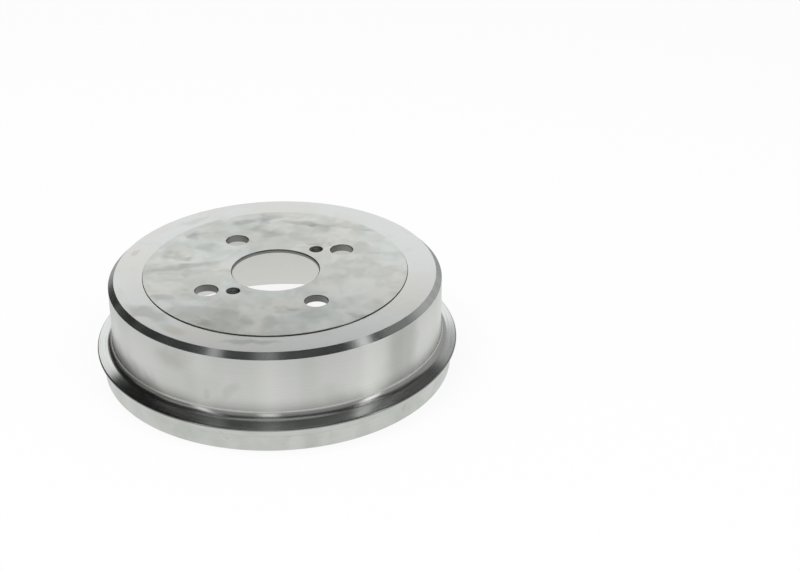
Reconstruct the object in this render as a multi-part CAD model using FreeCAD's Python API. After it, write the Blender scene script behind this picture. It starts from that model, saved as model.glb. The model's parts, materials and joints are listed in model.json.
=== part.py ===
# Brake drum: one turned iron casting that stands on its open end, wheel face up.
# Sizes are in millimetres, +Z is up, and the origin is on the floor under the drum's axis.
import FreeCAD, Part

import math
import os
from dataclasses import dataclass

from FreeCAD import Vector

# Friction cylinder, where the shoes run
BRAKING_DIAMETER = 200.0
CYLINDER_WALL = 6.5
DEPTH_TO_WEB = 56.6

# Web between the cylinder and the raised pad that the wheel bears on
RIM_WEB = 7.1
PAD_WEB = 4.8
PAD_RISE = 0.6
PAD_SETBACK = 22.0
SEAT_SETBACK = 19.0
CROWN_CHAMFER = 3.6

# Open end: inner lip, groove for the backing plate's edge, outer ring
LIP_WIDTH = 2.8
GROOVE_WIDTH = 5.8
GROOVE_DEPTH = 6.0
OUTER_RING_WIDTH = 4.0
OUTER_RING_SETBACK = 0.7

# Flange round the open end: a ground band, a step, a bead and a sloping back
BAND_HEIGHT = 10.6
BAND_STEP = 1.3
BAND_STEP_RISE = 0.4
BEAD_HEIGHT = 6.0
BEAD_REACH = 3.0
BACK_SLOPE_DEGREES = 17.6

# Undercut where the friction cylinder meets the web
UNDERCUT_WIDTH = 1.7
UNDERCUT_DEPTH = 0.5

# Centre bore, which the hub's spigot locates
BORE_DIAMETER = 55.8
BORE_LAND = 1.6
BORE_RELIEF_WIDTH = 5.0

# Wheel stud holes, on a circle about the bore
STUD_CIRCLE_DIAMETER = 100.0
STUD_COUNT = 4
STUD_HOLE_DIAMETER = 14.7
FIRST_STUD_ANGLE = 34.0

# Threaded jack holes, which press the drum off its hub
JACK_COUNT = 2
JACK_THREAD_DIAMETER = 8.0
JACK_THREAD_PITCH = 1.25
JACK_FROM_BORE = 9.95
JACK_TURN_FROM_STUD = 15.25

# How far a hole's cutter runs past the web's faces
CUTTER_OVERRUN = 1.0

# Edges and corners
BORE_CHAMFER = 0.6
STUD_CHAMFER = 0.35
JACK_COUNTERSINK = 1.2
JACK_BACK_CHAMFER = 0.5
LIP_CHAMFER = 0.25
BAND_CHAMFER = 0.2
BEAD_CHAMFER = 0.4
PAD_EDGE_CHAMFER = 0.15
FLANGE_FILLET = 5.0
GROOVE_CORNER = 0.6
SEAT_EDGE_CHAMFER = 0.3
SEAT_CORNER = 0.7

# Radii, worked out from the axis outwards
BRAKING_RADIUS = BRAKING_DIAMETER / 2
WALL_RADIUS = BRAKING_RADIUS + CYLINDER_WALL
GROOVE_INNER_RADIUS = BRAKING_RADIUS + LIP_WIDTH
GROOVE_OUTER_RADIUS = GROOVE_INNER_RADIUS + GROOVE_WIDTH
BAND_RADIUS = GROOVE_OUTER_RADIUS + OUTER_RING_WIDTH
BEAD_FOOT_RADIUS = BAND_RADIUS + BAND_STEP
BEAD_RADIUS = BEAD_FOOT_RADIUS + BEAD_REACH
PAD_RADIUS = WALL_RADIUS - PAD_SETBACK
SEAT_RADIUS = BRAKING_RADIUS - SEAT_SETBACK
BORE_RADIUS = BORE_DIAMETER / 2
STUD_CIRCLE_RADIUS = STUD_CIRCLE_DIAMETER / 2
JACK_CIRCLE_RADIUS = BORE_RADIUS + JACK_FROM_BORE
JACK_HOLE_RADIUS = (JACK_THREAD_DIAMETER - JACK_THREAD_PITCH) / 2

# Heights, worked out from the floor upwards
RING_Z = OUTER_RING_SETBACK
GROOVE_Z = RING_Z + GROOVE_DEPTH
BAND_TOP_Z = RING_Z + BAND_HEIGHT
BEAD_FOOT_Z = BAND_TOP_Z + BAND_STEP_RISE
BEAD_Z = BEAD_FOOT_Z + BEAD_HEIGHT
FLANGE_ROOT_Z = BEAD_Z + (BEAD_RADIUS - WALL_RADIUS) * math.tan(math.radians(BACK_SLOPE_DEGREES))
WEB_Z = DEPTH_TO_WEB
RIM_Z = WEB_Z + RIM_WEB
PAD_Z = RIM_Z + PAD_RISE
SEAT_Z = PAD_Z - PAD_WEB


@dataclass(frozen=True)
class Corner:
    """One corner of the drum's half section: radius from the axis, height, and how it is broken."""

    r: float
    z: float
    round: float = 0.0
    chamfer: float = 0.0

    def point(self) -> Vector:
        """The corner as a point of the plane through the axis and +X."""
        return Vector(self.r, 0, self.z)


def broken_corner(before: Corner, corner: Corner, after: Corner) -> list[Vector]:
    """Points that stand for a corner: itself, a chamfer's two ends, or a round's start, middle and end."""
    at = corner.point()
    back = (before.point() - at).normalize()
    on = (after.point() - at).normalize()
    if corner.chamfer:
        return [at + back * corner.chamfer, at + on * corner.chamfer]
    if corner.round:
        half = back.getAngle(on) / 2
        reach = corner.round / math.tan(half)
        centre_way = (back + on).normalize()
        middle = at + centre_way * (corner.round / math.sin(half) - corner.round)
        return [at + back * reach, middle, at + on * reach]
    return [at]


def half_section(corners: list[Corner]) -> Part.Face:
    """Closed face through the corners in order, with its rounds as arcs."""
    runs = []
    for index, corner in enumerate(corners):
        after = corners[(index + 1) % len(corners)]
        runs.append(broken_corner(corners[index - 1], corner, after))
    edges = []
    for index, run in enumerate(runs):
        if len(run) == 3:
            edges.append(Part.Arc(*run).toShape())
        if len(run) == 2:
            edges.append(Part.LineSegment(*run).toShape())
        next_start = runs[(index + 1) % len(runs)][0]
        edges.append(Part.LineSegment(run[-1], next_start).toShape())
    return Part.Face(Part.Wire(edges))


def wheel_side() -> list[Corner]:
    """Corners from the bore's top edge over the pad and the crown, down the outer wall to the flange."""
    return [
        Corner(BORE_RADIUS, PAD_Z, chamfer=BORE_CHAMFER),
        Corner(PAD_RADIUS, PAD_Z, chamfer=PAD_EDGE_CHAMFER),
        Corner(PAD_RADIUS, RIM_Z),
        Corner(WALL_RADIUS, RIM_Z, chamfer=CROWN_CHAMFER),
        Corner(WALL_RADIUS, FLANGE_ROOT_Z, round=FLANGE_FILLET),
    ]


def flange() -> list[Corner]:
    """Corners of the bead, the step under it and the band that runs down to the outer ring."""
    return [
        Corner(BEAD_RADIUS, BEAD_Z, chamfer=BEAD_CHAMFER),
        Corner(BEAD_FOOT_RADIUS, BEAD_FOOT_Z),
        Corner(BAND_RADIUS, BAND_TOP_Z),
        Corner(BAND_RADIUS, RING_Z, chamfer=BAND_CHAMFER),
    ]


def open_end() -> list[Corner]:
    """Corners of the groove between the outer ring and the lip that the drum stands on."""
    return [
        Corner(GROOVE_OUTER_RADIUS, RING_Z),
        Corner(GROOVE_OUTER_RADIUS, GROOVE_Z, chamfer=GROOVE_CORNER),
        Corner(GROOVE_INNER_RADIUS, GROOVE_Z, chamfer=GROOVE_CORNER),
        Corner(GROOVE_INNER_RADIUS, 0, chamfer=LIP_CHAMFER),
        Corner(BRAKING_RADIUS, 0, chamfer=LIP_CHAMFER),
    ]


def inside() -> list[Corner]:
    """Corners up the friction cylinder, through its undercut, over the hub seat to the relieved bore."""
    return [
        Corner(BRAKING_RADIUS, WEB_Z - UNDERCUT_WIDTH),
        Corner(BRAKING_RADIUS + UNDERCUT_DEPTH, WEB_Z + UNDERCUT_DEPTH),
        Corner(BRAKING_RADIUS - UNDERCUT_WIDTH, WEB_Z),
        Corner(SEAT_RADIUS, WEB_Z, chamfer=SEAT_EDGE_CHAMFER),
        Corner(SEAT_RADIUS, SEAT_Z, chamfer=SEAT_CORNER),
        Corner(BORE_RADIUS + BORE_RELIEF_WIDTH, SEAT_Z),
        Corner(BORE_RADIUS, PAD_Z - BORE_CHAMFER - BORE_LAND),
    ]


def hole_cutter(radius: float, top_break: float, back_break: float) -> Part.Shape:
    """Cutter on the axis for a hole through the pad, broken at 45 degrees on the wheel side and the hub side."""
    bottom_z = SEAT_Z - CUTTER_OVERRUN
    length = PAD_Z + CUTTER_OVERRUN - bottom_z
    top_depth = top_break + CUTTER_OVERRUN
    back_depth = back_break + CUTTER_OVERRUN
    cutter = Part.makeCylinder(radius, length, Vector(0, 0, bottom_z))
    top = Part.makeCone(radius, radius + top_depth, top_depth, Vector(0, 0, PAD_Z - top_break))
    back = Part.makeCone(radius + back_depth, radius, back_depth, Vector(0, 0, bottom_z))
    return cutter.fuse([top, back])


def hole_ring(cutter: Part.Shape, circle_radius: float, count: int, first_angle: float) -> list[Part.Shape]:
    """Copies of a cutter, evenly spaced on a circle about the axis."""
    copies = []
    for index in range(count):
        copy = cutter.copy()
        copy.translate(Vector(circle_radius, 0, 0))
        copy.rotate(Vector(0, 0, 0), Vector(0, 0, 1), first_angle + index * 360.0 / count)
        copies.append(copy)
    return copies


def brake_drum() -> Part.Shape:
    """The whole drum: the section turned about its axis, with its stud and jack holes."""
    section = half_section(wheel_side() + flange() + open_end() + inside())
    drum = section.revolve(Vector(0, 0, 0), Vector(0, 0, 1), 360)
    stud_hole = hole_cutter(STUD_HOLE_DIAMETER / 2, STUD_CHAMFER, STUD_CHAMFER)
    jack_hole = hole_cutter(JACK_HOLE_RADIUS, JACK_COUNTERSINK, JACK_BACK_CHAMFER)
    stud_holes = hole_ring(stud_hole, STUD_CIRCLE_RADIUS, STUD_COUNT, FIRST_STUD_ANGLE)
    first_jack = FIRST_STUD_ANGLE + JACK_TURN_FROM_STUD
    jack_holes = hole_ring(jack_hole, JACK_CIRCLE_RADIUS, JACK_COUNT, first_jack)
    return drum.cut(stud_holes + jack_holes)


def main() -> None:
    """Writes the drum's solid and prints its checks."""
    os.makedirs("parts", exist_ok=True)
    drum = brake_drum()
    drum.exportStep("parts/brake_drum.step")
    box = drum.optimalBoundingBox(False, False)
    print("brake_drum valid", drum.isValid(), "solids", len(drum.Solids), "faces", len(drum.Faces))
    print("size %.2f x %.2f x %.2f mm, lowest %.3f" % (box.XLength, box.YLength, box.ZLength, box.ZMin))
    print("volume %.1f cm3" % (drum.Volume / 1000))


main()
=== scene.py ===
"""Dresses the brake drum: its turned casting, the finishes of its surfaces, the studio and the camera.

Sizes are in millimetres in the classes, and turned into metres where a mesh or a light is made.
"""
import json
import logging
import math
from collections.abc import Callable
from dataclasses import dataclass, field
from enum import Enum

import bpy
from mathutils import Euler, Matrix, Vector


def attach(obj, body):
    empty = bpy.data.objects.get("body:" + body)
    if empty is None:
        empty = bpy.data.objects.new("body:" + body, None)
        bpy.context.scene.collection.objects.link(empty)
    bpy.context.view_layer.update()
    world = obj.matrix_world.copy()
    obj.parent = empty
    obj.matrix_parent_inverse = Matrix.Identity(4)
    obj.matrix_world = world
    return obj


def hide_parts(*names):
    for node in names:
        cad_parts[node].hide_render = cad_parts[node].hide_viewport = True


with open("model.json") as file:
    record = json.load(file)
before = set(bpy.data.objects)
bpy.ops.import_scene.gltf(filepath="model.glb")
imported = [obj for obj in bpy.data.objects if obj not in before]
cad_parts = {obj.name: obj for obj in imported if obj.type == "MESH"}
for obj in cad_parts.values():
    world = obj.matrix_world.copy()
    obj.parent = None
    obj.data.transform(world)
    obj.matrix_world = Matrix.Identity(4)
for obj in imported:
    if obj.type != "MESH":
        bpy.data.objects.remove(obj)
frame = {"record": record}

LOG = logging.getLogger("brake_drum")
MM = 0.001
DRUM_NODE = "brake_drum"

# Noise nodes give values mostly between these two
NOISE_LOW = 0.3
NOISE_HIGH = 0.7
# How far a placed mark reaches in and out of its surface, in millimetres
MARK_REACH = 8.0

Socket = bpy.types.NodeSocket
# A colour, or a place or size along X, Y and Z
Triple = tuple[float, float, float]
# What a node's input takes: a socket to join, a number or a vector
Given = Socket | float | tuple[float, ...]


def on_circle(radius: float, angle: float, height: float = 0.0) -> Triple:
    """The point at an angle, in radians, on a level circle about the axis."""
    return radius * math.cos(angle), radius * math.sin(angle), height


def placed(name: str, data: bpy.types.ID) -> bpy.types.Object:
    """A new object of a mesh, a light or a camera, linked to the scene."""
    made = bpy.data.objects.new(name, data)
    bpy.context.scene.collection.objects.link(made)
    return made


class Surface(Enum):
    """The drum's surfaces, each with a finish of its own. The value is its material's place on the mesh."""

    PAD = 0
    PAD_STEP = 1
    RIM = 2
    CROWN = 3
    WALL = 4
    FLANGE_BACK = 5
    CREST = 6
    BAND = 7
    OPEN_END = 8
    FRICTION = 9
    HUB_SEAT = 10
    BORE_LAND = 11
    HOLE = 12
    BAND_HEAD = 13
    FLANGE_FILLET = 14


@dataclass(frozen=True)
class SectionPoint:
    """A point of the half section, with the surface of the run that follows it."""

    r: float
    z: float
    surface: Surface

    def place(self) -> Vector:
        """The point's place in the section's plane."""
        return Vector((self.r, self.z))


@dataclass(frozen=True)
class Corner(SectionPoint):
    """A corner that a round or a chamfer may break, into a surface of its own where one is given."""

    round: float = 0.0
    chamfer: float = 0.0
    broken: Surface | None = None


@dataclass(frozen=True)
class Outline:
    """A closed half section that is turned about the axis, with its rounds divided finely."""

    corners: list[Corner]
    arc_step: float = math.radians(6.0)
    guard: float = 0.25

    def points(self) -> list[SectionPoint]:
        """Works out the outline's points.

        Returns:
            The points in order, with guard points beside each round so that its shading stays on it.
        """
        places = [corner.place() for corner in self.corners]
        befores = places[-1:] + places[:-1]
        afters = places[1:] + places[:1]
        runs = [self._broken(*given) for given in zip(befores, self.corners, afters)]
        made = []
        for index, corner in enumerate(self.corners):
            after = (index + 1) % len(self.corners)
            start = runs[index][-1].place()
            end = runs[after][0].place()
            way = (end - start).normalized() * self.guard
            made += runs[index]
            if corner.round:
                made.append(SectionPoint(*(start + way), corner.surface))
            if self.corners[after].round:
                made.append(SectionPoint(*(end - way), corner.surface))
        return made

    def _broken(self, before: Vector, corner: Corner, after: Vector) -> list[SectionPoint]:
        """Breaks one corner.

        Args:
            before: The place of the corner before it.
            corner: The corner itself.
            after: The place of the corner after it.

        Returns:
            The corner's own point, a chamfer's two, or a round's many. The last starts the next run.
        """
        at = corner.place()
        back = (before - at).normalized()
        on = (after - at).normalized()
        skin = corner.broken or corner.surface
        if corner.chamfer:
            near = at + back * corner.chamfer
            far = at + on * corner.chamfer
            return [SectionPoint(*near, skin), SectionPoint(*far, corner.surface)]
        if corner.round:
            half = back.angle(on) / 2
            centre = at + (back + on).normalized() * corner.round / math.sin(half)
            first = (at + back * corner.round / math.tan(half)) - centre
            turn = math.pi - 2 * half
            if first.x * (at - centre).y < first.y * (at - centre).x:
                turn = -turn
            steps = max(2, math.ceil(abs(turn) / self.arc_step))
            made = []
            for step in range(steps + 1):
                angle = turn * step / steps
                spot = Vector((first.x * math.cos(angle) - first.y * math.sin(angle),
                               first.x * math.sin(angle) + first.y * math.cos(angle)))
                made.append(SectionPoint(*(centre + spot), skin if step < steps else corner.surface))
            return made
        return [corner]


@dataclass(frozen=True)
class DrumSizes:
    """Sizes of the drum in millimetres. Those of its mounts come from the frame."""

    braking_radius: float
    friction_top: float
    bore_radius: float
    stud_circle_radius: float
    stud_radius: float
    stud_count: int
    jack_radius: float
    jack_places: list[Vector]
    seat_z: float
    pad_z: float
    first_stud: float = 34.0
    wall: float = 6.5
    web_z: float = 56.6
    rim_z: float = 63.7
    pad_setback: float = 22.0
    seat_setback: float = 19.0
    crown_chamfer: float = 3.6
    lip_width: float = 2.8
    groove_width: float = 5.8
    groove_z: float = 6.7
    ring_width: float = 4.0
    ring_z: float = 0.7
    band_top_z: float = 11.3
    band_step: float = 1.3
    band_step_rise: float = 0.4
    bead_height: float = 6.0
    bead_reach: float = 3.0
    back_slope: float = math.radians(17.6)
    undercut_depth: float = 0.5
    undercut_round: float = 0.3
    step_foot: float = 0.35
    # height of the strip under the step that carries painted shade
    band_head: float = 0.75
    bore_land: float = 1.6
    bore_relief: float = 5.0
    bore_chamfer: float = 0.6
    stud_chamfer: float = 0.35
    jack_countersink: float = 1.2
    jack_back_chamfer: float = 0.5
    lip_chamfer: float = 0.25
    band_chamfer: float = 0.2
    bead_round: float = 1.0
    pad_edge_round: float = 0.15
    flange_fillet: float = 5.0
    groove_fillet: float = 0.6
    seat_edge_round: float = 0.3
    seat_fillet: float = 0.7
    thread_pitch: float = 1.25

    @classmethod
    def from_frame(cls) -> "DrumSizes":
        """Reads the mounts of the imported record.

        Returns:
            The drum's sizes.
        """
        mounts = {mount["name"]: mount for mount in frame["record"]["mounts"]}
        friction = mounts["friction_cylinder"]
        studs = mounts["stud_holes"]["dims"]
        jacks = [mount for mount in mounts.values() if mount["kind"] == "threaded_hole"]
        return cls(
            braking_radius=friction["dims"]["r_mm"],
            friction_top=friction["pos_m"][2] / MM + friction["dims"]["length_mm"] / 2,
            bore_radius=mounts["centre_bore"]["dims"]["r_mm"],
            stud_circle_radius=studs["pcd_mm"] / 2,
            stud_radius=studs["hole_r_mm"],
            stud_count=studs["count"],
            jack_radius=jacks[0]["dims"]["r_mm"],
            jack_places=[Vector(mount["pos_m"]) / MM for mount in jacks],
            seat_z=mounts["hub_seat"]["pos_m"][2] / MM,
            pad_z=mounts["wheel_face"]["pos_m"][2] / MM,
        )

    @property
    def wall_radius(self) -> float:
        """Outside radius of the wall."""
        return self.braking_radius + self.wall

    @property
    def band_radius(self) -> float:
        """Outside radius of the ground band."""
        return self.braking_radius + self.lip_width + self.groove_width + self.ring_width


@dataclass(frozen=True)
class RingStack:
    """A closed body made of rings about an upright axis, used to cut a hole."""

    centre: Vector
    heights: list[float]
    segments: int

    def build(self, radius_at: Callable[[float, float], float], verts: list[Triple],
              faces: list[tuple[int, ...]]) -> None:
        """Adds the body's points and faces to a mesh's lists.

        Args:
            radius_at: Gives the radius at an angle and a height.
            verts: The mesh's points, in millimetres.
            faces: The mesh's faces.
        """
        base = len(verts)
        count = self.segments
        for height in self.heights:
            for index in range(count):
                angle = 2 * math.pi * index / count
                x, y, z = on_circle(radius_at(angle, height), angle, height)
                verts.append((self.centre.x + x, self.centre.y + y, z))
        for row in range(len(self.heights) - 1):
            for index in range(count):
                beside = (index + 1) % count
                low = base + row * count
                faces.append((low + index, low + beside, low + count + beside, low + count + index))
        top = base + (len(self.heights) - 1) * count
        faces.append(tuple(base + count - 1 - index for index in range(count)))
        faces.append(tuple(top + index for index in range(count)))


@dataclass(frozen=True)
class Mark:
    """Something that changed the metal's look in places. Lengths are in millimetres.

    Where the mark is whole, the metal's colour is multiplied by the tone, and its roughness grows by the
    dulling.
    """

    tone: Triple
    dulling: float = 0.0

    def cover(self, web: "NodeWeb", spot: "Spot") -> Socket:
        """How far the mark covers the point, from 0 to 1."""
        raise NotImplementedError


@dataclass(frozen=True)
class CloudMark(Mark):
    """A film of oil or a faint bloom, in soft clouds all over the surface."""

    size: float = 20.0
    low: float = 0.45
    high: float = 0.65
    detail: float = 2.0
    stretch: Triple = (1.0, 1.0, 1.0)
    turn: float = 0.0
    shift: float = 0.0
    shift_way: Triple = (1.0, -1.0, 0.5)

    def cover(self, web: "NodeWeb", spot: "Spot") -> Socket:
        """Clouds of the mark's size, longer along a stretched axis."""
        start = [self.shift * way for way in self.shift_way]
        sizes = [self.size * length for length in self.stretch]
        cloud = web.noise(web.laid(spot.ragged, start, 0.0, self.turn, sizes), self.detail)
        return web.map_range(cloud, self.low, self.high, 0.0, 1.0)


@dataclass(frozen=True)
class StripeMark(Mark):
    """Streaks across the cut, which change round the drum and not along its section."""

    turns: float = 5.0
    low: float = 0.4
    high: float = 0.65
    detail: float = 2.0
    rough: float = 0.55

    def cover(self, web: "NodeWeb", spot: "Spot") -> Socket:
        """Noise round the axis."""
        streak = web.noise(web.scaled(spot.round_way, self.turns), self.detail, self.rough)
        return web.map_range(streak, self.low, self.high, 0.0, 1.0)


@dataclass(frozen=True)
class RingMark(Mark):
    """Painted shade that a corner holds, which thins out with height."""

    low: float = 0.0
    high: float = 1.0

    def cover(self, web: "NodeWeb", spot: "Spot") -> Socket:
        """1 below the low height, falling to 0 at the high one."""
        return web.map_range(web.split(spot.place, "Z"), self.low, self.high, 1.0, 0.0)


@dataclass(frozen=True)
class PlacedMark(Mark):
    """Stains, dabs and wipes, and patches of painted shade and painted reflection, each at its own place:
    an uneven oval, paler inside if it dried from its edge.
    """

    centre: Triple = (0.0, 0.0, 0.0)
    half: Triple = (5.0, 5.0, 5.0)
    turn: float = 0.0
    lean: float = 0.0
    edge: float = 0.5
    hollow: float = 0.0
    hollow_from: float = 0.15
    hollow_to: float = 0.85

    def cover(self, web: "NodeWeb", spot: "Spot") -> Socket:
        """1 within the oval, falling to 0 over its soft edge."""
        laid = web.laid(spot.ragged, self.centre, self.lean, self.turn, self.half)
        reach = web.vector_math("LENGTH", laid)
        cover = web.edge(reach, 1.0, self.edge, 1.0, 0.0)
        if self.hollow:
            inside = web.map_range(reach, self.hollow_from, self.hollow_to, self.hollow, 0.0)
            cover = web.math("SUBTRACT", cover, inside)
        return cover


@dataclass(frozen=True)
class Spot:
    """The shaded point as a finish sees it, in millimetres."""

    place: Socket
    ragged: Socket
    round_way: Socket


@dataclass(frozen=True)
class Finish:
    """How one surface was cut and what has dulled it since.

    Lengths are in millimetres. The tool's lines run round the drum, so they change along the section only.
    """

    name: str
    metal: Triple
    roughness: float
    marks: tuple[Mark, ...] = ()
    anisotropy: float = 0.5
    line_pitch: float = 0.4
    line_depth: float = 0.003
    line_tone: float = 0.03
    line_turns: float = 3.0
    line_detail: float = 2.0
    rough_swing: float = 0.06
    rag_size: float = 12.0
    rag: float = 5.0
    section_tilt: float = 1.37
    quarter_turn: float = 0.25

    def material(self) -> bpy.types.Material:
        """Builds the material.

        Returns:
            A metal whose colour, roughness and fine relief follow the cut and the marks.
        """
        made = bpy.data.materials.new(self.name)
        made.use_nodes = True
        web = NodeWeb(made.node_tree)
        place = web.scaled(web.output("ShaderNodeTexCoord", "Object"), 1 / MM)
        across = web.vector_math("MULTIPLY", place, (1.0, 1.0, 0.0))
        round_way = web.vector_math("NORMALIZE", across)
        height = web.math("MULTIPLY", web.split(place, "Z"), self.section_tilt)
        section = web.math("SUBTRACT", web.vector_math("LENGTH", across), height)
        lines = web.round_noise(section, round_way, self.line_pitch, self.line_turns, self.line_detail)
        spot = Spot(place, web.ragged(place, self.rag_size, self.rag), round_way)
        tone = web.map_range(lines, NOISE_LOW, NOISE_HIGH, 1.0 - self.line_tone, 1.0 + self.line_tone)
        colour = web.vector_math("MULTIPLY", web.vector(tone, tone, tone), self.metal)
        smoothest = self.roughness * (1.0 - self.rough_swing)
        roughest = self.roughness * (1.0 + self.rough_swing)
        rough = web.map_range(lines, NOISE_LOW, NOISE_HIGH, smoothest, roughest)
        for mark in self.marks:
            cover = mark.cover(web, spot)
            marked = web.vector_math("MULTIPLY", colour, mark.tone)
            colour = web.mix_colour(cover, colour, marked)
            if mark.dulling:
                rough = web.math("ADD", rough, web.math("MULTIPLY", cover, mark.dulling))
        relief = web.math("MULTIPLY", lines, self.line_depth)
        bump = web.node("ShaderNodeBump")
        bump.inputs["Distance"].default_value = MM
        web.link(relief, bump.inputs["Height"])
        tangent = web.node("ShaderNodeTangent")
        tangent.direction_type = "RADIAL"
        tangent.axis = "Z"
        shader = made.node_tree.nodes["Principled BSDF"]
        shader.inputs["Metallic"].default_value = 1.0
        shader.inputs["Anisotropic"].default_value = self.anisotropy
        shader.inputs["Anisotropic Rotation"].default_value = self.quarter_turn
        web.link(colour, shader.inputs["Base Color"])
        web.link(rough, shader.inputs["Roughness"])
        web.link(bump.outputs["Normal"], shader.inputs["Normal"])
        web.link(tangent.outputs["Tangent"], shader.inputs["Tangent"])
        return made


class NodeWeb:
    """Short ways to make and join shader nodes."""

    # The mix node's colour sockets share their names with its others, so they go by place
    COLOUR_INPUTS = (6, 7)
    COLOUR_OUTPUT = 2

    def __init__(self, tree: bpy.types.NodeTree) -> None:
        """Keeps the tree that the nodes go into."""
        self.tree = tree

    def node(self, kind: str) -> bpy.types.Node:
        """A new node of that kind."""
        return self.tree.nodes.new(kind)

    def output(self, kind: str, name: str) -> Socket:
        """The named output of a new node."""
        return self.node(kind).outputs[name]

    def link(self, source: Socket, target: Socket) -> None:
        """Joins two sockets."""
        self.tree.links.new(source, target)

    def feed(self, value: Given, target: Socket) -> None:
        """Sets a socket to a number or vector, or joins a socket to it."""
        if isinstance(value, Socket):
            self.link(value, target)
        else:
            target.default_value = value

    def math(self, operation: str, first: Given, second: Given = 0.0) -> Socket:
        """The result of a sum on one or two numbers."""
        made = self.node("ShaderNodeMath")
        made.operation = operation
        self.feed(first, made.inputs[0])
        self.feed(second, made.inputs[1])
        return made.outputs[0]

    def vector_math(self, operation: str, first: Given, second: Given = (0.0, 0.0, 0.0)) -> Socket:
        """The result of a sum on one or two vectors: a number for lengths and dot products."""
        made = self.node("ShaderNodeVectorMath")
        made.operation = operation
        self.feed(first, made.inputs[0])
        self.feed(second, made.inputs[1])
        gives_number = operation in ("LENGTH", "DOT_PRODUCT")
        return made.outputs["Value" if gives_number else "Vector"]

    def scaled(self, vector: Socket, factor: float) -> Socket:
        """A vector times a number."""
        return self.vector_math("MULTIPLY", vector, (factor, factor, factor))

    def vector(self, *parts: Socket) -> Socket:
        """A vector of three numbers."""
        made = self.node("ShaderNodeCombineXYZ")
        for part, target in zip(parts, made.inputs):
            self.link(part, target)
        return made.outputs[0]

    def split(self, vector: Socket, axis: str) -> Socket:
        """One part of a vector."""
        made = self.node("ShaderNodeSeparateXYZ")
        self.link(vector, made.inputs[0])
        return made.outputs[axis]

    def map_range(self, value: Given, low: float, high: float, to_low: float, to_high: float) -> Socket:
        """A number moved smoothly from one range to another, and held at its ends."""
        made = self.node("ShaderNodeMapRange")
        made.interpolation_type = "SMOOTHSTEP"
        ends = {"From Min": low, "From Max": high, "To Min": to_low, "To Max": to_high}
        for name, number in ends.items():
            made.inputs[name].default_value = number
        self.feed(value, made.inputs["Value"])
        return made.outputs["Result"]

    def edge(self, value: Given, at: float, softness: float, before: float, after: float) -> Socket:
        """One level before a number and another after it, with a soft edge between them."""
        return self.map_range(value, at - softness, at + softness, before, after)

    def laid(self, place: Socket, centre: Triple, lean: float, turn: float, sizes: Triple) -> Socket:
        """Gives a point in a frame of a mark's own.

        Args:
            place: The point.
            centre: The frame's middle.
            lean: How far it leans about Y, in degrees.
            turn: How far it turns about Z, in degrees.
            sizes: The frame's unit lengths along its three axes.

        Returns:
            The point in the frame.
        """
        made = self.node("ShaderNodeMapping")
        made.vector_type = "TEXTURE"
        made.inputs["Location"].default_value = centre
        made.inputs["Rotation"].default_value = Euler((0.0, math.radians(lean), math.radians(turn)))
        made.inputs["Scale"].default_value = sizes
        self.link(place, made.inputs["Vector"])
        return made.outputs["Vector"]

    def mix_colour(self, share: Socket, first: Socket, second: Socket) -> Socket:
        """A mix of two colours."""
        made = self.node("ShaderNodeMix")
        made.data_type = "RGBA"
        self.link(share, made.inputs["Factor"])
        for colour, place in zip((first, second), self.COLOUR_INPUTS):
            self.link(colour, made.inputs[place])
        return made.outputs[self.COLOUR_OUTPUT]

    def ragged(self, place: Socket, size: float, reach: float) -> Socket:
        """A point pushed about by noise, so that what is laid out from it gets uneven edges.

        Args:
            place: The point.
            size: The size of the noise's clouds.
            reach: How far the noise pushes at most, in each direction, from its middle.

        Returns:
            The moved point.
        """
        clouds = self.scaled(place, 1 / size)
        push = self.vector_math("SUBTRACT", self.noise(clouds, 1.0, output="Color"), (0.5, 0.5, 0.5))
        return self.vector_math("ADD", place, self.scaled(push, 2 * reach))

    def noise(self, vector: Socket, detail: float, rough: float = 0.5, output: str = "Fac") -> Socket:
        """Cloudy noise, mostly from NOISE_LOW to NOISE_HIGH, in clouds of the vector's unit length."""
        made = self.node("ShaderNodeTexNoise")
        made.inputs["Scale"].default_value = 1.0
        made.inputs["Detail"].default_value = detail
        made.inputs["Roughness"].default_value = rough
        self.link(vector, made.inputs["Vector"])
        return made.outputs[output]

    def round_noise(self, section: Socket, way: Socket, pitch: float, turns: float,
                    detail: float) -> Socket:
        """Noise in lines that run round the axis.

        Args:
            section: The place along the half section, in millimetres.
            way: The unit vector from the axis to the point.
            pitch: The width of a line and a gap, in millimetres.
            turns: How much the lines change on their way round.
            detail: How many finer lines there are.

        Returns:
            The noise's value.
        """
        turned = self.scaled(way, turns)
        x, y = (self.split(turned, axis) for axis in "XY")
        return self.noise(self.vector(x, y, self.math("DIVIDE", section, pitch)), detail)


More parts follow.
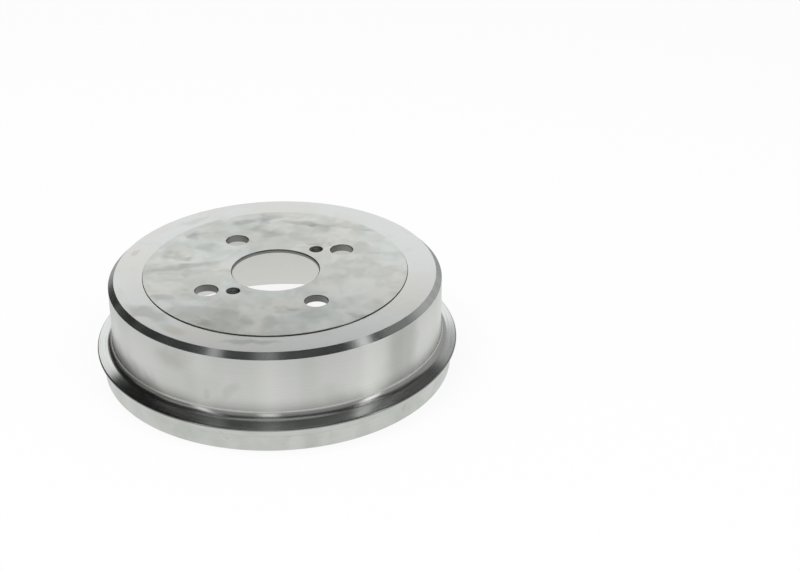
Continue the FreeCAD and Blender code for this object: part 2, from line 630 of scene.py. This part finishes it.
@dataclass(frozen=True)
class IronPalette:
    """The finishes of the drum's surfaces: bright turned iron under a thin film of oil, with painted shade
    and painted dark reflections in places.
    """

    ground: Triple = (0.755, 0.785, 0.755)
    bright: Triple = (0.735, 0.76, 0.745)
    plain: Triple = (0.66, 0.67, 0.64)
    combed: Triple = (0.83, 0.84, 0.81)
    filleted: Triple = (0.72, 0.725, 0.71)
    shaded: Triple = (0.6, 0.62, 0.59)
    # a darker copy of the bright metal: painted shade for the flange's back
    back_shaded: Triple = (0.665, 0.685, 0.67)
    inner: Triple = (0.78, 0.78, 0.75)
    # dark tone: painted dark reflection on the flange's crest
    crest: Triple = (0.32, 0.32, 0.315)
    # near black: painted shade for the pad's small step wall
    dark: Triple = (0.16, 0.16, 0.155)
    # dark drilled iron, with painted shade for the holes and the bore land
    drilled_and_shaded: Triple = (0.27, 0.275, 0.265)
    # painted shade for the strip just under the flange's step
    band_head_shade: Triple = (0.5, 0.51, 0.485)
    # oil tone, also used for a band of painted dark reflection on the wall
    oil_and_shade: Triple = (0.78, 0.785, 0.78)
    thin_oil: Triple = (0.9, 0.905, 0.9)
    faint_oil: Triple = (0.94, 0.945, 0.935)
    warm_film: Triple = (1.0, 0.97, 0.955)
    grime: Triple = (0.84, 0.84, 0.825)
    wheel_z: float = 64.3
    wall_radius: float = 106.5

    def finishes(self) -> dict[Surface, Finish]:
        """Each surface's finish.

        Returns:
            The finishes by surface, in the order of the mesh's materials.
        """
        film_and_shade = CloudMark(self.thin_oil, size=26.0, low=0.42, high=0.58)
        warm = CloudMark(self.warm_film, size=45.0, low=0.45, high=0.6, shift=80.0)
        haze = CloudMark(self.faint_oil, dulling=0.02, size=11.0, low=0.4, high=0.64, shift=30.0)
        dabs = CloudMark(self.oil_and_shade, size=13.0, low=0.6, high=0.78, stretch=(1.5, 1.0, 1.0), turn=-12.0,
                         shift=21.0)
        grimy = CloudMark(self.grime, dulling=0.03, size=9.0, low=0.6, high=0.76, shift=15.0)
        bands = StripeMark(self.faint_oil, turns=5.0, low=0.4, high=0.65, detail=1.0)
        streaks = StripeMark(self.thin_oil, turns=16.0, low=0.35, high=0.7)
        return {
            Surface.PAD: Finish("ground_wheel_pad", self.ground, 0.22,
                                self._pad_marks(film_and_shade, warm, haze, dabs), anisotropy=0.3),
            # painted shade on the pad's small step wall
            Surface.PAD_STEP: Finish("oily_pad_step", self.dark, 0.4, anisotropy=0.0),
            Surface.RIM: Finish("turned_rim", self.bright, 0.19, self._rim_marks(warm, haze),
                                anisotropy=0.3),
            Surface.CROWN: Finish("turned_crown_chamfer", self.bright, 0.2, (streaks,), anisotropy=0.8),
            Surface.WALL: Finish("turned_outer_wall", self.combed, 0.34, self._wall_marks(bands),
                                 anisotropy=0.9),
            # the flange's back: painted shade from a darker metal tone and darker patches at the front
            Surface.FLANGE_BACK: Finish("turned_flange_back", self.back_shaded, 0.15, self._back_painted_shade(),
                                        anisotropy=0.6, line_pitch=1.1, line_depth=0.045,
                                        line_tone=0.08),
            # painted dark reflection on the rounded crest of the flange
            Surface.CREST: Finish("worn_flange_crest", self.crest, 0.2, anisotropy=0.2),
            Surface.BAND: Finish("ground_flange_band", self.shaded, 0.3, (bands, haze, grimy)),
            Surface.OPEN_END: Finish("turned_open_end", self.plain, 0.28, (haze, grimy)),
            Surface.FRICTION: Finish("honed_friction_cylinder", self.inner, 0.34, anisotropy=0.7,
                                     line_pitch=0.3, line_tone=0.02),
            Surface.HUB_SEAT: Finish("turned_hub_seat", self.plain, 0.3, (haze, grimy),
                                     anisotropy=0.6, line_pitch=0.8),
            # the bore land and the hole walls: drilled finish, darkened with painted shade in these
            # recesses
            Surface.BORE_LAND: Finish("bored_land", self.drilled_and_shaded, 0.3, anisotropy=0.0),
            Surface.HOLE: Finish("drilled_hole_wall", self.drilled_and_shaded, 0.35, anisotropy=0.0),
            # painted shade on the strip just under the step, under random grime
            Surface.BAND_HEAD: Finish("oily_band_head", self.band_head_shade, 0.3, (grimy,)),
            # the fillet carries the painted corner shade
            Surface.FLANGE_FILLET: Finish("turned_flange_fillet", self.filleted, 0.21,
                                          self._corner_painted_shade(), anisotropy=0.85, line_pitch=0.9,
                                          line_depth=0.02, rag=1.0),
        }

    def _on_face(self, x: float, y: float, along: float, across: float, turn: float = 0.0,
                 **rest) -> PlacedMark:
        """A mark on the wheel side.

        Args:
            x: Its middle.
            y: Its middle.
            along: Half its length.
            across: Half its width.
            turn: The angle of its length from +X, in degrees.
            **rest: The mark's tone, edge, hollow and dulling, where they differ.

        Returns:
            The mark.
        """
        settings = {"tone": self.oil_and_shade, **rest}
        half = (along, across, MARK_REACH)
        return PlacedMark(centre=(x, y, self.wheel_z), half=half, turn=turn, **settings)

    def _on_wall(self, azimuth: float, z: float, along: float, tall: float, lean: float = 0.0,
                 across: float = MARK_REACH, **rest) -> PlacedMark:
        """A mark on the outer wall.

        Args:
            azimuth: The angle of its middle, in degrees.
            z: The height of its middle.
            along: Half its length round the wall.
            tall: Half its height.
            lean: How far it leans from upright, in degrees.
            across: How far it reaches in and out from the wall.
            **rest: The mark's tone, edge, hollow and dulling, where they differ.

        Returns:
            The mark.
        """
        settings = {"tone": self.oil_and_shade, **rest}
        centre = on_circle(self.wall_radius, math.radians(azimuth), z)
        half = (along, across, tall)
        return PlacedMark(centre=centre, half=half, turn=azimuth + 90.0, lean=lean, **settings)

    def _back_painted_shade(self) -> tuple[Mark, ...]:
        """Painted shade on the flange's back, in patches over the front of the drum."""
        # darker patches: painted shade on the front of the flange's back
        film_and_shade = {"across": 15.0, "tone": (0.72, 0.72, 0.71), "edge": 0.7}
        places = (240.0, 254.0, 268.0, 282.0)
        return tuple(self._on_wall(azimuth, 19.0, 28.0, 13.0, **film_and_shade) for azimuth in places)

    def _pad_marks(self, *clouds: Mark) -> tuple[Mark, ...]:
        """The pad's marks: drops that dried, dabs and the wipe of a rag."""
        wiped = (0.85, 0.855, 0.85)
        dabbed = (0.85, 0.865, 0.86)
        return (
            *clouds,
            self._on_face(-69.0, 21.0, 7.0, 7.0, edge=0.35, hollow=0.5),
            self._on_face(-57.0, 46.0, 4.0, 5.0),
            self._on_face(-46.0, 33.0, 6.5, 4.5, tone=self.thin_oil),
            self._on_face(-61.0, 3.5, 23.0, 3.6, 16.0),
            self._on_face(-60.0, -4.0, 17.0, 2.6, 8.0, tone=self.thin_oil),
            self._on_face(-6.0, 51.0, 8.0, 6.0),
            self._on_face(-9.0, 76.0, 9.0, 3.6, 12.0),
            self._on_face(-27.0, 69.0, 9.0, 3.0, 20.0),
            self._on_face(14.0, 67.0, 13.0, 3.4, -14.0),
            self._on_face(28.0, 59.0, 9.0, 4.0, -30.0, tone=self.thin_oil),
            self._on_face(-68.0, -36.0, 7.5, 4.0, -10.0),
            self._on_face(-42.0, -66.0, 32.0, 17.0, -10.0, tone=wiped, edge=0.14),
            self._on_face(-14.0, -66.0, 4.5, 6.0, tone=dabbed),
            self._on_face(0.5, -69.0, 5.0, 6.0, tone=dabbed),
            self._on_face(41.0, -12.0, 6.0, 8.0, 30.0, tone=self.thin_oil, hollow=0.5),
            self._on_face(21.0, -56.0, 14.0, 7.0, -12.0, tone=self.thin_oil, hollow=0.3),
        )

    def _rim_marks(self, warm: Mark, haze: Mark) -> tuple[Mark, ...]:
        """The rim's marks: a wipe and a few brown specks."""
        rust = (0.88, 0.85, 0.82)
        return (
            warm,
            CloudMark(haze.tone, size=16.0, low=0.55, high=0.75, shift=55.0),
            self._on_face(-94.0, 24.0, 5.0, 2.0, 70.0, tone=rust),
            self._on_face(-75.0, -56.0, 15.0, 5.5, -36.0, tone=(0.76, 0.76, 0.75), edge=0.5),
            self._on_face(-57.0, -75.0, 10.0, 4.0, -34.0, tone=rust),
            self._on_face(-9.0, -92.0, 15.0, 2.6, 0.0),
            self._on_face(-60.0, 72.0, 12.0, 3.0, 42.0, tone=self.thin_oil),
        )

    def _corner_painted_shade(self) -> tuple[Mark, ...]:
        """Painted shade in the corner between wall and flange, darkest on one side."""
        return (
            # painted shade low on the wall and fillet, fading out between 23 and 34 mm up
            RingMark((0.8, 0.8, 0.79), low=23.0, high=34.0),
            # more painted shade on the left-front side of the corner
            self._on_wall(210.0, 22.0, 80.0, 10.0, tone=(0.56, 0.56, 0.55), edge=0.75),
        )

    def _wall_marks(self, bands: Mark) -> tuple[Mark, ...]:
        """The outer wall's marks: soft smudges where it was handled, the painted shade of the corner and
        two bands of painted dark reflection.
        """
        return (
            bands,
            # the painted shade in the corner between wall and flange
            *self._corner_painted_shade(),
            self._on_wall(248.2, 38.0, 9.0, 9.0, tone=self.thin_oil, edge=0.8),
            self._on_wall(250.9, 33.0, 3.0, 3.0, tone=self.thin_oil),
            self._on_wall(258.5, 37.0, 3.6, 8.5, 35.0, tone=self.thin_oil),
            # painted dark reflection, high on the wall
            self._on_wall(237.0, 51.0, 11.0, 6.0, tone=(0.87, 0.86, 0.84), edge=0.8),
            self._on_wall(291.5, 31.0, 9.0, 6.0, 25.0, tone=self.thin_oil, edge=0.8),
            # painted dark reflection of a neighbouring object: a tall band down the whole wall
            self._on_wall(320.0, 42.0, 13.0, 30.0, edge=0.6),
        )


@dataclass(frozen=True)
class DrumCasting:
    """The whole drum: one turned casting with its stud holes and threaded jack holes.

    The thread's flat and its height are shares of the height that its V would have with sharp edges.
    """

    sizes: DrumSizes
    palette: IronPalette = field(default_factory=IronPalette)
    round_segments: int = 360
    stud_segments: int = 72
    jack_segments: int = 72
    rows_per_pitch: int = 12
    thread_flat: float = 0.25
    thread_height: float = 0.625
    overrun: float = 1.0
    sharp_angle: float = math.radians(20.0)

    def build(self) -> bpy.types.Object:
        """Turns the section, cuts the holes and dresses the drum.

        Returns:
            The casting's object, which rides on the drum's body.
        """
        outline = Outline(self._wheel_side() + self._flange() + self._open_end() + self._inside())
        casting = self._turned(outline.points())
        for surface, finish in self.palette.finishes().items():
            casting.data.materials.append(finish.material())
            LOG.info("finish %s on %s", finish.name, surface.name.lower())
        self._cut_holes(casting)
        casting.data.shade_smooth()
        casting.data.set_sharp_from_angle(angle=self.sharp_angle)
        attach(casting, "root")
        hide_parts(DRUM_NODE)
        return casting

    def _wheel_side(self) -> list[Corner]:
        """Corners from the bore over the pad and the crown, down the wall to the flange."""
        s = self.sizes
        pad_radius = s.wall_radius - s.pad_setback
        return [
            Corner(s.bore_radius, s.pad_z, Surface.PAD, chamfer=s.bore_chamfer, broken=Surface.HOLE),
            Corner(pad_radius, s.pad_z, Surface.PAD_STEP, round=s.pad_edge_round, broken=Surface.PAD),
            Corner(pad_radius, s.rim_z, Surface.PAD_STEP),
            Corner(pad_radius + s.step_foot, s.rim_z, Surface.RIM),
            Corner(s.wall_radius, s.rim_z, Surface.WALL, chamfer=s.crown_chamfer, broken=Surface.CROWN),
            Corner(s.wall_radius, self._flange_root(), Surface.FLANGE_BACK, round=s.flange_fillet,
                   broken=Surface.FLANGE_FILLET),
        ]

    def _bead(self) -> tuple[float, float]:
        """Radius and height of the bead's corner."""
        s = self.sizes
        radius = s.band_radius + s.band_step + s.bead_reach
        return radius, s.band_top_z + s.band_step_rise + s.bead_height

    def _flange_root(self) -> float:
        """Height at which the flange's back would meet the wall."""
        radius, height = self._bead()
        return height + (radius - self.sizes.wall_radius) * math.tan(self.sizes.back_slope)

    def _flange(self) -> list[Corner]:
        """Corners of the bead, the step under it and the band."""
        s = self.sizes
        bead_radius, bead_z = self._bead()
        foot_radius = s.band_radius + s.band_step
        return [
            Corner(bead_radius, bead_z, Surface.BAND, round=s.bead_round, broken=Surface.CREST),
            Corner(foot_radius, s.band_top_z + s.band_step_rise, Surface.BAND),
            # the band head: the strip under the step, which carries painted shade
            Corner(s.band_radius, s.band_top_z, Surface.BAND_HEAD),
            Corner(s.band_radius, s.band_top_z - s.band_head, Surface.BAND),
            Corner(s.band_radius, s.ring_z, Surface.OPEN_END, chamfer=s.band_chamfer),
        ]

    def _open_end(self) -> list[Corner]:
        """Corners of the groove between the outer ring and the lip."""
        s = self.sizes
        inner = s.braking_radius + s.lip_width
        outer = inner + s.groove_width
        return [
            Corner(outer, s.ring_z, Surface.OPEN_END),
            Corner(outer, s.groove_z, Surface.OPEN_END, round=s.groove_fillet),
            Corner(inner, s.groove_z, Surface.OPEN_END, round=s.groove_fillet),
            Corner(inner, 0.0, Surface.OPEN_END, chamfer=s.lip_chamfer),
            Corner(s.braking_radius, 0.0, Surface.FRICTION, chamfer=s.lip_chamfer, broken=Surface.OPEN_END),
        ]

    def _inside(self) -> list[Corner]:
        """Corners up the friction cylinder, through its undercut, over the hub seat to the bore."""
        s = self.sizes
        depth = s.undercut_depth
        width = s.web_z - s.friction_top
        seat_radius = s.braking_radius - s.seat_setback
        land_z = s.pad_z - s.bore_chamfer - s.bore_land
        return [
            Corner(s.braking_radius, s.friction_top, Surface.HUB_SEAT),
            Corner(s.braking_radius + depth, s.web_z + depth, Surface.HUB_SEAT, round=s.undercut_round),
            Corner(s.braking_radius - width, s.web_z, Surface.HUB_SEAT),
            Corner(seat_radius, s.web_z, Surface.HUB_SEAT, round=s.seat_edge_round),
            Corner(seat_radius, s.seat_z, Surface.HUB_SEAT, round=s.seat_fillet),
            Corner(s.bore_radius + s.bore_relief, s.seat_z, Surface.HOLE),
            Corner(s.bore_radius, land_z, Surface.BORE_LAND),
        ]

    def _turned(self, points: list[SectionPoint]) -> bpy.types.Object:
        """Turns an outline about the axis.

        Args:
            points: The closed half section.

        Returns:
            An object with one ring of faces for each run of the outline.
        """
        verts: list[Triple] = []
        faces: list[tuple[int, ...]] = []
        surfaces: list[int] = []
        rings = len(points)
        for index in range(self.round_segments):
            angle = 2 * math.pi * index / self.round_segments
            verts += [on_circle(point.r, angle, point.z) for point in points]
        for index in range(self.round_segments):
            here = index * rings
            beside = (index + 1) % self.round_segments * rings
            for ring, point in enumerate(points):
                after = (ring + 1) % rings
                faces.append((here + ring, here + after, beside + after, beside + ring))
                surfaces.append(point.surface.value)
        return self._object("drum_casting", verts, faces, surfaces)

    def _object(self, name: str, verts: list[Triple], faces: list[tuple[int, ...]],
                surfaces: list[int]) -> bpy.types.Object:
        """Makes an object of points in millimetres.

        Args:
            name: The object's name.
            verts: Its points.
            faces: Its faces.
            surfaces: The place of each face's material.

        Returns:
            The object, linked to the scene.
        """
        mesh = bpy.data.meshes.new(name)
        mesh.from_pydata([(x * MM, y * MM, z * MM) for x, y, z in verts], [], faces)
        mesh.polygons.foreach_set("material_index", surfaces)
        mesh.update()
        return placed(name, mesh)

    def _cut_holes(self, casting: bpy.types.Object) -> None:
        """Cuts the stud holes and the threaded jack holes out of the casting."""
        verts: list[Triple] = []
        faces: list[tuple[int, ...]] = []
        s = self.sizes
        low = s.seat_z - self.overrun
        high = s.pad_z + self.overrun
        heights = [low, s.seat_z + s.stud_chamfer, s.pad_z - s.stud_chamfer, high]
        for index in range(s.stud_count):
            angle = math.radians(s.first_stud) + 2 * math.pi * index / s.stud_count
            centre = Vector(on_circle(s.stud_circle_radius, angle))
            RingStack(centre, heights, self.stud_segments).build(self._stud_radius, verts, faces)
        rows = math.ceil((high - low) / s.thread_pitch * self.rows_per_pitch)
        heights = [low + row * s.thread_pitch / self.rows_per_pitch for row in range(rows + 1)]
        for place in s.jack_places:
            RingStack(place, heights, self.jack_segments).build(self._jack_radius, verts, faces)
        cutter = self._object("hole_cutter", verts, faces, [Surface.HOLE.value] * len(faces))
        for material in casting.data.materials:
            cutter.data.materials.append(material)
        cut = casting.modifiers.new("holes", "BOOLEAN")
        cut.operation = "DIFFERENCE"
        cut.solver = "EXACT"
        cut.object = cutter
        whole = bpy.context.evaluated_depsgraph_get()
        drilled_and_shaded = bpy.data.meshes.new_from_object(casting.evaluated_get(whole))
        casting.modifiers.clear()
        blank = casting.data
        casting.data = drilled_and_shaded
        drilled_and_shaded.name = casting.name
        bpy.data.meshes.remove(blank)
        bpy.data.objects.remove(cutter)

    def _stud_radius(self, angle: float, height: float) -> float:
        """Radius of a stud hole's cutter at a height."""
        s = self.sizes
        top = height - (s.pad_z - s.stud_chamfer)
        back = s.seat_z + s.stud_chamfer - height
        return s.stud_radius + max(0.0, top, back)

    def _jack_radius(self, angle: float, height: float) -> float:
        """Radius of a jack hole's cutter.

        Args:
            angle: The angle about the hole's own axis.
            height: The height.

        Returns:
            The thread's radius there, or the countersink's or back chamfer's where that is more.
        """
        s = self.sizes
        turn = (height / s.thread_pitch - angle / (2 * math.pi)) % 1.0
        flank = 1.0 - 2.0 * abs(turn - 0.5)
        sharp_height = s.thread_pitch * math.sqrt(3) / 2
        depth = sharp_height * min(max(flank - self.thread_flat, 0.0), self.thread_height)
        top = s.jack_radius + height - (s.pad_z - s.jack_countersink)
        back = s.jack_radius + (s.seat_z + s.jack_back_chamfer) - height
        return max(s.jack_radius + depth, top, back)


@dataclass(frozen=True)
class Panel:
    """A panel of the studio that shows in the metal, upright or overhead.

    Angles are in degrees as seen from the drum: azimuth from +X towards +Y, and height above the floor.
    """

    name: str
    azimuth: float
    half_width: float
    low: float
    high: float
    softness: float
    level: float

    def cover(self, web: NodeWeb, turn: Socket, lift: Socket) -> Socket:
        """How far the panel covers a direction, from 0 to 1.

        Args:
            web: The world's nodes.
            turn: The direction's azimuth in degrees.
            lift: Its height in degrees.

        Returns:
            The cover, which falls softly at the panel's four edges.
        """
        off = web.math("PINGPONG", web.math("SUBTRACT", turn, self.azimuth), 180.0)
        within = web.edge(off, self.half_width, self.softness, 1.0, 0.0)
        above = web.edge(lift, self.low, self.softness, 0.0, 1.0)
        below = web.edge(lift, self.high, self.softness, 1.0, 0.0)
        return web.math("MULTIPLY", within, web.math("MULTIPLY", above, below))


@dataclass(frozen=True)
class SoftLamp:
    """A square lamp that looks at the drum and doesn't mirror in it. Lengths are in millimetres."""

    name: str
    place: Triple
    size: float
    watts: float

    def build(self) -> None:
        """Hangs the lamp."""
        light = bpy.data.lights.new(self.name, "AREA")
        light.shape = "SQUARE"
        light.size = self.size * MM
        light.energy = self.watts
        lamp = placed(self.name, light)
        place = Vector(self.place)
        lamp.location = place * MM
        lamp.rotation_euler = (-place).to_track_quat("-Z", "Y").to_euler()
        lamp.visible_glossy = False


@dataclass(frozen=True)
class Studio:
    """The floor, the lamps and the surroundings that the metal mirrors.

    The floor's sizes are in millimetres, apart from its white part and its edge as the metal mirrors them,
    which are in metres from the axis. The ceiling's are degrees above the floor.
    """

    floor_size: float = 4000.0
    floor_drop: float = 0.2
    floor_show: float = 0.9
    floor_mirrored: float = 0.94
    floor_white: float = 0.9
    table_white: float = 0.205
    table_edge: float = 0.25
    beyond_table: float = 0.3
    ceiling_level: float = 0.032
    ceiling_from: float = 31.0
    ceiling_soft: float = 4.0
    room_level: float = 0.72
    fill_level: float = 0.55
    panels: tuple[Panel, ...] = (
        Panel("right_wall", 42.0, 32.0, -20.0, 36.0, 4.0, 0.45),
        Panel("grey_corner", 11.0, 14.0, 26.0, 44.0, 4.0, 0.2),
        Panel("backdrop", 99.5, 28.0, -20.0, 30.0, 2.6, 1.07),
        Panel("dark_doorway", 142.0, 21.0, -20.0, 36.0, 3.0, 0.025),
        Panel("dark_left", 176.0, 24.0, 12.0, 52.0, 4.0, 0.02),
        Panel("backdrop_corner", 119.5, 8.0, 20.0, 35.0, 2.0, 1.05),
        Panel("dark_rear", 126.0, 12.0, 38.0, 68.0, 3.0, 0.015),
        Panel("grey_rear", 62.0, 10.0, 39.0, 54.0, 4.0, 0.09),
        Panel("low_left", 172.0, 24.0, -20.0, 7.0, 3.0, 0.05),
        Panel("low_front_left", 203.0, 14.0, -20.0, 20.0, 3.0, 0.15),
        Panel("shelf_left", 158.0, 13.0, 4.0, 12.0, 2.5, 0.25),
        Panel("shelf_middle", 179.0, 12.0, 11.0, 20.0, 2.5, 0.55),
        Panel("shelf_right", 201.0, 13.0, 19.0, 31.0, 2.5, 0.5),
        Panel("front_window", 272.0, 56.0, -20.0, 40.0, 4.0, 0.31),
        Panel("low_right", 4.0, 24.0, -20.0, 26.0, 4.0, 0.38),
        Panel("left_post", 223.0, 4.5, -20.0, 43.0, 2.5, 1.1),
        Panel("left_lamp", 217.0, 5.5, 51.0, 60.0, 2.0, 0.8),
        Panel("left_tube", 176.0, 8.0, 62.0, 74.0, 3.0, 0.5),
        Panel("middle_post", 267.0, 6.0, -20.0, 42.0, 3.0, 1.0),
        Panel("middle_lamp", 262.0, 12.0, 60.0, 67.0, 2.5, 0.45),
        Panel("right_post", 336.0, 5.5, -20.0, 38.0, 2.5, 1.6),
        Panel("right_lamp", 350.0, 5.0, 46.5, 58.0, 2.5, 1.9),
        Panel("upper_lamp", 21.0, 9.0, 56.0, 66.0, 3.0, 0.85),
        Panel("rear_lamp", 65.0, 8.0, 55.0, 63.0, 2.0, 0.42),
        Panel("small_lamp", 118.5, 3.5, 60.0, 66.0, 1.5, 0.5),
        Panel("roof_light", 0.0, 181.0, 73.0, 91.0, 3.0, 0.5),
    )
    lamps: tuple[SoftLamp, ...] = (
        SoftLamp("key_lamp", (-500.0, -300.0, 1500.0), 900.0, 11.0),
        SoftLamp("fill_lamp", (900.0, -700.0, 1300.0), 1100.0, 7.0),
    )

    def build(self) -> None:
        """Makes the floor, the surroundings and the lamps."""
        self._floor()
        self._surroundings()
        for lamp in self.lamps:
            lamp.build()

    def _floor(self) -> None:
        """Makes the pale floor, which shows white and keeps the drum's shadow."""
        half = self.floor_size * MM / 2
        drop = -self.floor_drop * MM
        mesh = bpy.data.meshes.new("floor")
        corners = [(-half, -half, drop), (half, -half, drop), (half, half, drop), (-half, half, drop)]
        mesh.from_pydata(corners, [], [(0, 1, 2, 3)])
        floor = placed("floor", mesh)
        material = bpy.data.materials.new("pale_floor")
        material.use_nodes = True
        web = NodeWeb(material.node_tree)
        nodes = material.node_tree.nodes
        nodes.remove(nodes["Principled BSDF"])
        matt = web.node("ShaderNodeBsdfDiffuse")
        matt.inputs["Color"].default_value = (self.floor_white, self.floor_white, self.floor_white, 1.0)
        glow = web.node("ShaderNodeEmission")
        mirrored = web.output("ShaderNodeLightPath", "Is Glossy Ray")
        away = web.vector_math("LENGTH", web.output("ShaderNodeTexCoord", "Object"))
        far = web.map_range(away, self.table_white, self.table_edge, self.floor_mirrored, self.beyond_table)
        held = web.math("MULTIPLY", mirrored, far)
        web.link(web.math("ADD", held, web.math("SUBTRACT", 1.0, mirrored)), glow.inputs["Strength"])
        shows = web.math("MAXIMUM", self._seen(web), self._mirrors(web))
        glowing = web.math("MULTIPLY", shows, self.floor_show)
        mix = web.node("ShaderNodeMixShader")
        web.link(glowing, mix.inputs["Fac"])
        web.link(matt.outputs[0], mix.inputs[1])
        web.link(glow.outputs[0], mix.inputs[2])
        web.link(mix.outputs[0], nodes["Material Output"].inputs["Surface"])
        mesh.materials.append(material)

    def _mirrors(self, web: NodeWeb) -> Socket:
        """1 for rays from metal and glass, and 0 for others."""
        path = web.node("ShaderNodeLightPath")
        return web.math("MAXIMUM", path.outputs["Is Glossy Ray"], path.outputs["Is Transmission Ray"])

    def _seen(self, web: NodeWeb) -> Socket:
        """1 for rays from the camera, and 0 for others."""
        return web.output("ShaderNodeLightPath", "Is Camera Ray")

    def _surroundings(self) -> None:
        """Makes the world: white to the camera, soft panels of light and dark to the metal."""
        world = bpy.data.worlds.new("studio_surroundings")
        bpy.context.scene.world = world
        world.use_nodes = True
        web = NodeWeb(world.node_tree)
        direction = web.vector_math("NORMALIZE", web.output("ShaderNodeTexCoord", "Generated"))
        x, y, z = (web.split(direction, axis) for axis in "XYZ")
        turn = web.math("DEGREES", web.math("ARCTAN2", y, x))
        lift = web.math("DEGREES", web.math("ARCSINE", z))
        level = web.edge(lift, self.ceiling_from, self.ceiling_soft, self.room_level, self.ceiling_level)
        for panel in self.panels:
            share = panel.cover(web, turn, lift)
            held = web.math("MULTIPLY", level, web.math("SUBTRACT", 1.0, share))
            level = web.math("ADD", held, web.math("MULTIPLY", share, panel.level))
            LOG.info("studio panel %s", panel.name)
        mirrored = self._mirrors(web)
        fill = web.math("MULTIPLY", web.math("SUBTRACT", 1.0, mirrored), self.fill_level)
        lit = web.math("ADD", web.math("MULTIPLY", mirrored, level), fill)
        background = world.node_tree.nodes["Background"]
        background.inputs["Color"].default_value = (1.0, 1.0, 1.0, 1.0)
        web.link(web.math("MAXIMUM", lit, self._seen(web)), background.inputs["Strength"])


@dataclass(frozen=True)
class ViewPoint:
    """The camera, which stands where the photograph was taken from. Lengths are in millimetres."""

    place: Triple = (79.7, -952.4, 565.5)
    tip: float = 61.7
    lens: float = 75.63
    sensor: float = 36.0
    nearest: float = 10.0

    def build(self) -> None:
        """Makes the camera and looks through it."""
        data = bpy.data.cameras.new("camera")
        data.sensor_fit = "HORIZONTAL"
        data.sensor_width = self.sensor
        data.lens = self.lens
        data.clip_start = self.nearest * MM
        camera = placed("camera", data)
        camera.location = Vector(self.place) * MM
        camera.rotation_euler = Euler((math.radians(self.tip), 0.0, 0.0))
        bpy.context.scene.camera = camera


def main() -> None:
    """Builds the drum, the studio and the camera."""
    logging.basicConfig(level=logging.INFO, format="%(name)s: %(message)s")
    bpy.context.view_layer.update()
    bpy.context.scene.view_settings.view_transform = "Standard"
    casting = DrumCasting(DrumSizes.from_frame()).build()
    LOG.info("piece %s has %d faces", casting.name, len(casting.data.polygons))
    Studio().build()
    ViewPoint().build()


if __name__ == "__main__":
    main()
